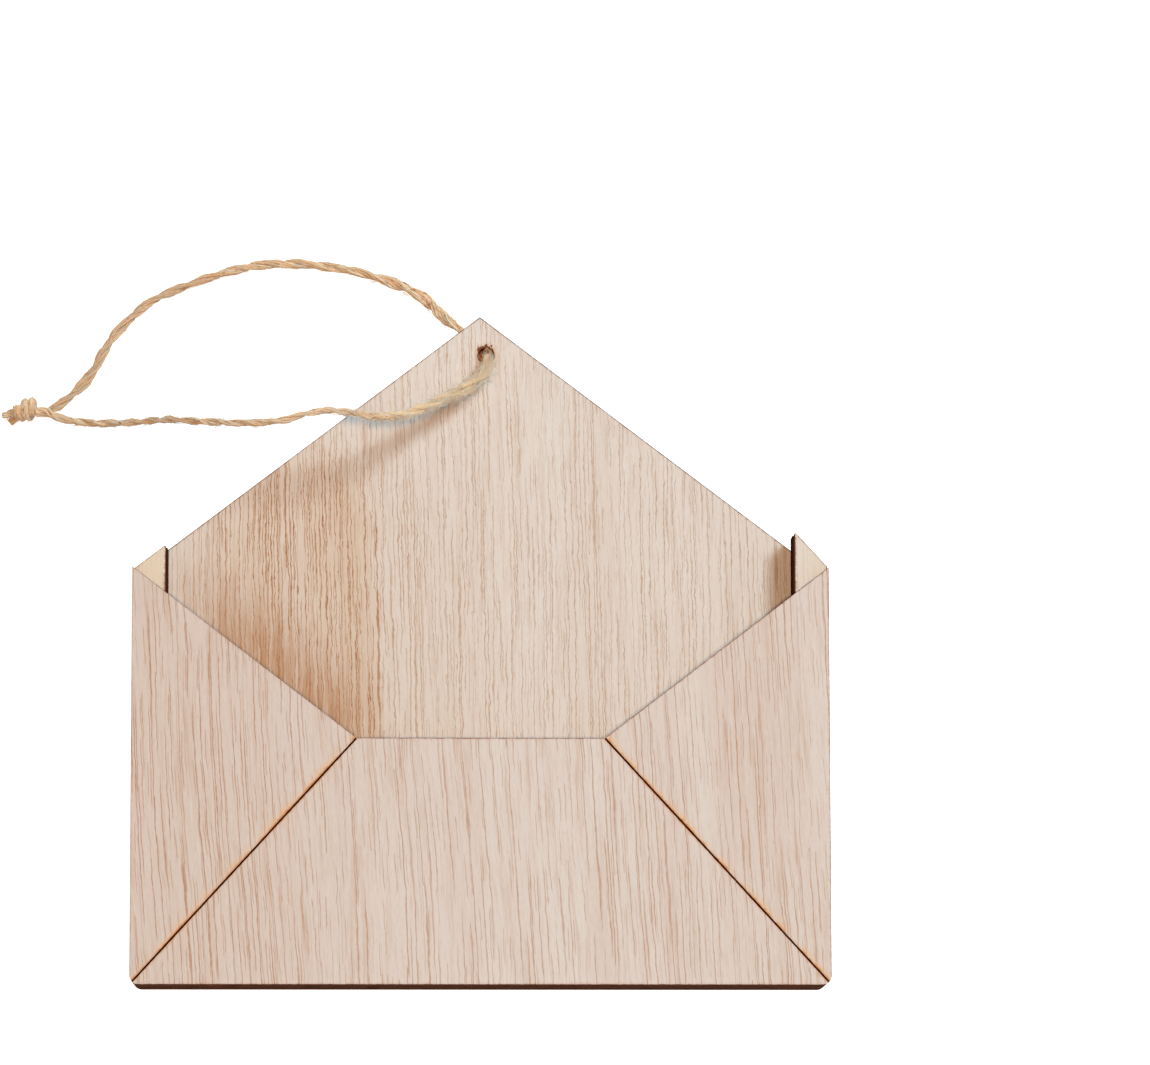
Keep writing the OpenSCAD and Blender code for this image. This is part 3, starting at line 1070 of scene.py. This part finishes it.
def jute():
    """Jute: every bundle of fibres has its own tone, with rusty flecks and darker streaks
    along the fibres, partly their own tone and partly painted shade of the gaps between
    them.
    """
    sh = Shader("jute", roughness=0.85)
    uv = sh.node("UVMap", uv_map="strand").outputs[0]
    u, v, _ = sh.split(uv)
    bundle = sh.math("FLOOR", v)

    def streaks(along, across, shift, detail):
        """Noise that is stretched along the fibres and differs from bundle to bundle."""
        apart = sh.add(sh.times(bundle, 7.3), shift)
        at = sh.join(sh.times(u, along), sh.times(v, across), apart)
        return sh.noise(at, detail=detail, roughness=0.6)

    def from_mark(mark):
        """1 from a little below the mark upwards, 0 for all bundles below that."""
        return sh.ramp(v, mark - 9, mark - 8)

    tone_of_bundle = sh.node(
        "TexWhiteNoise", {"W": bundle}, noise_dimensions="1D"
    ).outputs["Value"]
    fibre = streaks(0.5, 5.0, 0.0, 3.0)
    lock = streaks(0.25, 0.6, 11.0, 2.0)
    fleck = streaks(0.9, 2.0, 23.0, 2.0)
    colour = sh.mix(tone_of_bundle, tone(239, 196, 151), tone(246, 223, 192))
    colour = sh.mix(sh.ramp(lock, 0.42, 0.64, 0.0, 0.5), colour, tone(240, 188, 136))
    colour = sh.mix(sh.ramp(lock, 0.3, 0.44, 0.6, 0.0), colour, tone(255, 242, 220))
    # darker streaks along the fibres: partly fibre tone, partly painted shade of the gaps
    # between fibres
    colour = sh.mix(sh.ramp(fibre, 0.5, 0.7, 0.0, 0.6), colour, tone(212, 144, 90))
    colour = sh.mix(sh.ramp(fleck, 0.58, 0.66, 0.0, 0.8), colour, tone(176, 106, 56))
    on_front = sh.ramp(v, BACK_YARNS - 3, BACK_YARNS - 1, 1.0, 0.0)
    far_back = sh.times(sh.math("SUBTRACT", 1.0, on_front), sh.ramp(u, 36.0, 58.0))
    colour = sh.mix(sh.times(far_back, 0.55), colour, tone(206, 166, 128))
    by_hole = sh.times(on_front, sh.ramp(u, 16.0, 34.0, 0.85, 0.0))
    colour = sh.mix(by_hole, colour, tone(255, 220, 176))
    # painted shade: the front run is darker and more orange inside the hole and at its
    # mouth
    hole_shade_on_run = sh.times(on_front, sh.ramp(u, 1.8, 3.2, 0.6, 0.0))
    colour = sh.mix(hole_shade_on_run, colour, tone(222, 156, 92))
    paleness = sh.ramp(v, LOOSE, LOOSE + LOOSE_TONES)
    hair = sh.mix(paleness, tone(250, 204, 152), tone(255, 250, 230))
    colour = sh.mix(from_mark(LOOSE), colour, hair)
    # painted shade: fibres in the hole are browner, and darker deeper in
    colour = sh.mix(from_mark(GOLDEN), colour, tone(236, 168, 104))
    colour = sh.mix(from_mark(MATTED), colour, tone(190, 110, 56))
    sh.put(sh.surface.inputs["Base Color"], colour)
    sh.surface.inputs["Specular IOR Level"].default_value = 0.1
    sh.surface.inputs["Sheen Weight"].default_value = 0.3
    sh.surface.inputs["Subsurface Weight"].default_value = 0.4
    sh.surface.inputs["Subsurface Radius"].default_value = (1.0, 0.7, 0.4)
    sh.surface.inputs["Subsurface Scale"].default_value = 0.15 * MM
    sh.bump(fibre, 0.05 * MM, 0.6)
    return sh.material


twine = jute()
for piece in (front_run, back_run, knot):
    piece.data.materials.append(twine)


# Table, backdrop and light

FLOOR_HALF = 3.0  # metres
FLOOR_TONE = 0.82
FLOOR_GLOW = 0.86  # lifts the floor to white in the picture


def white_for_camera(name, glow):
    """A pale surface that the camera sees as white, with a soft shadow left on it."""
    sh = Shader(name, roughness=0.9)
    sh.surface.inputs["Base Color"].default_value = (*(FLOOR_TONE,) * 3, 1)
    sh.surface.inputs["Specular IOR Level"].default_value = 0.0
    seen = sh.node("LightPath").outputs["Is Camera Ray"]
    sh.surface.inputs["Emission Color"].default_value = (1, 1, 1, 1)
    sh.put(sh.surface.inputs["Emission Strength"], sh.times(seen, glow))
    return sh.material


floor_mesh = bpy.data.meshes.new("floor")
floor_mesh.from_pydata(
    [
        (-FLOOR_HALF, -FLOOR_HALF, 0),
        (FLOOR_HALF, -FLOOR_HALF, 0),
        (FLOOR_HALF, FLOOR_HALF, 0),
        (-FLOOR_HALF, FLOOR_HALF, 0),
    ],
    [],
    [(0, 1, 2, 3)],
)
floor = bpy.data.objects.new("floor", floor_mesh)
bpy.context.scene.collection.objects.link(floor)
floor_mesh.materials.append(white_for_camera("floor_white", FLOOR_GLOW))

# Each lamp: where it shines from, its share of the red, green and blue light, and its
# softness in degrees. The warm one shines from the camera's side, which hides its shadows.
LAMPS = {
    "key": ((0.565, 0.435, 1.0), (0.38, 0.52, 0.62), 16.0),
    "warm_fill": ((-0.015, -0.13, 1.0), (0.43, 0.28, 0.15), 4.0),
}
FILL = (0.19, 0.2, 0.23)  # from all sides; it and the lamps add up to plain white

for lamp_name, (shines_from, share, softness) in LAMPS.items():
    x, y, z = shines_from
    slant = z / math.sqrt(x * x + y * y + z * z)
    lamp_data = bpy.data.lights.new(lamp_name, "SUN")
    lamp_data.energy = math.pi * max(share) / slant
    lamp_data.color = [v / max(share) for v in share]
    lamp_data.angle = math.radians(softness)
    lamp = bpy.data.objects.new(lamp_name, lamp_data)
    lamp.rotation_euler = (math.atan2(math.hypot(x, y), z), 0, math.atan2(x, -y))
    bpy.context.scene.collection.objects.link(lamp)

world = bpy.data.worlds.new("studio")
world.use_nodes = True
bpy.context.scene.world = world
tree = world.node_tree
background = tree.nodes["Background"]
ray = tree.nodes.new("ShaderNodeLightPath")
seen = tree.nodes.new("ShaderNodeMix")
seen.data_type = "RGBA"
seen.inputs[6].default_value = (*FILL, 1)
seen.inputs[7].default_value = (1, 1, 1, 1)
tree.links.new(ray.outputs["Is Camera Ray"], seen.inputs[0])
tree.links.new(seen.outputs[2], background.inputs["Color"])

bpy.context.scene.view_settings.view_transform = "Standard"
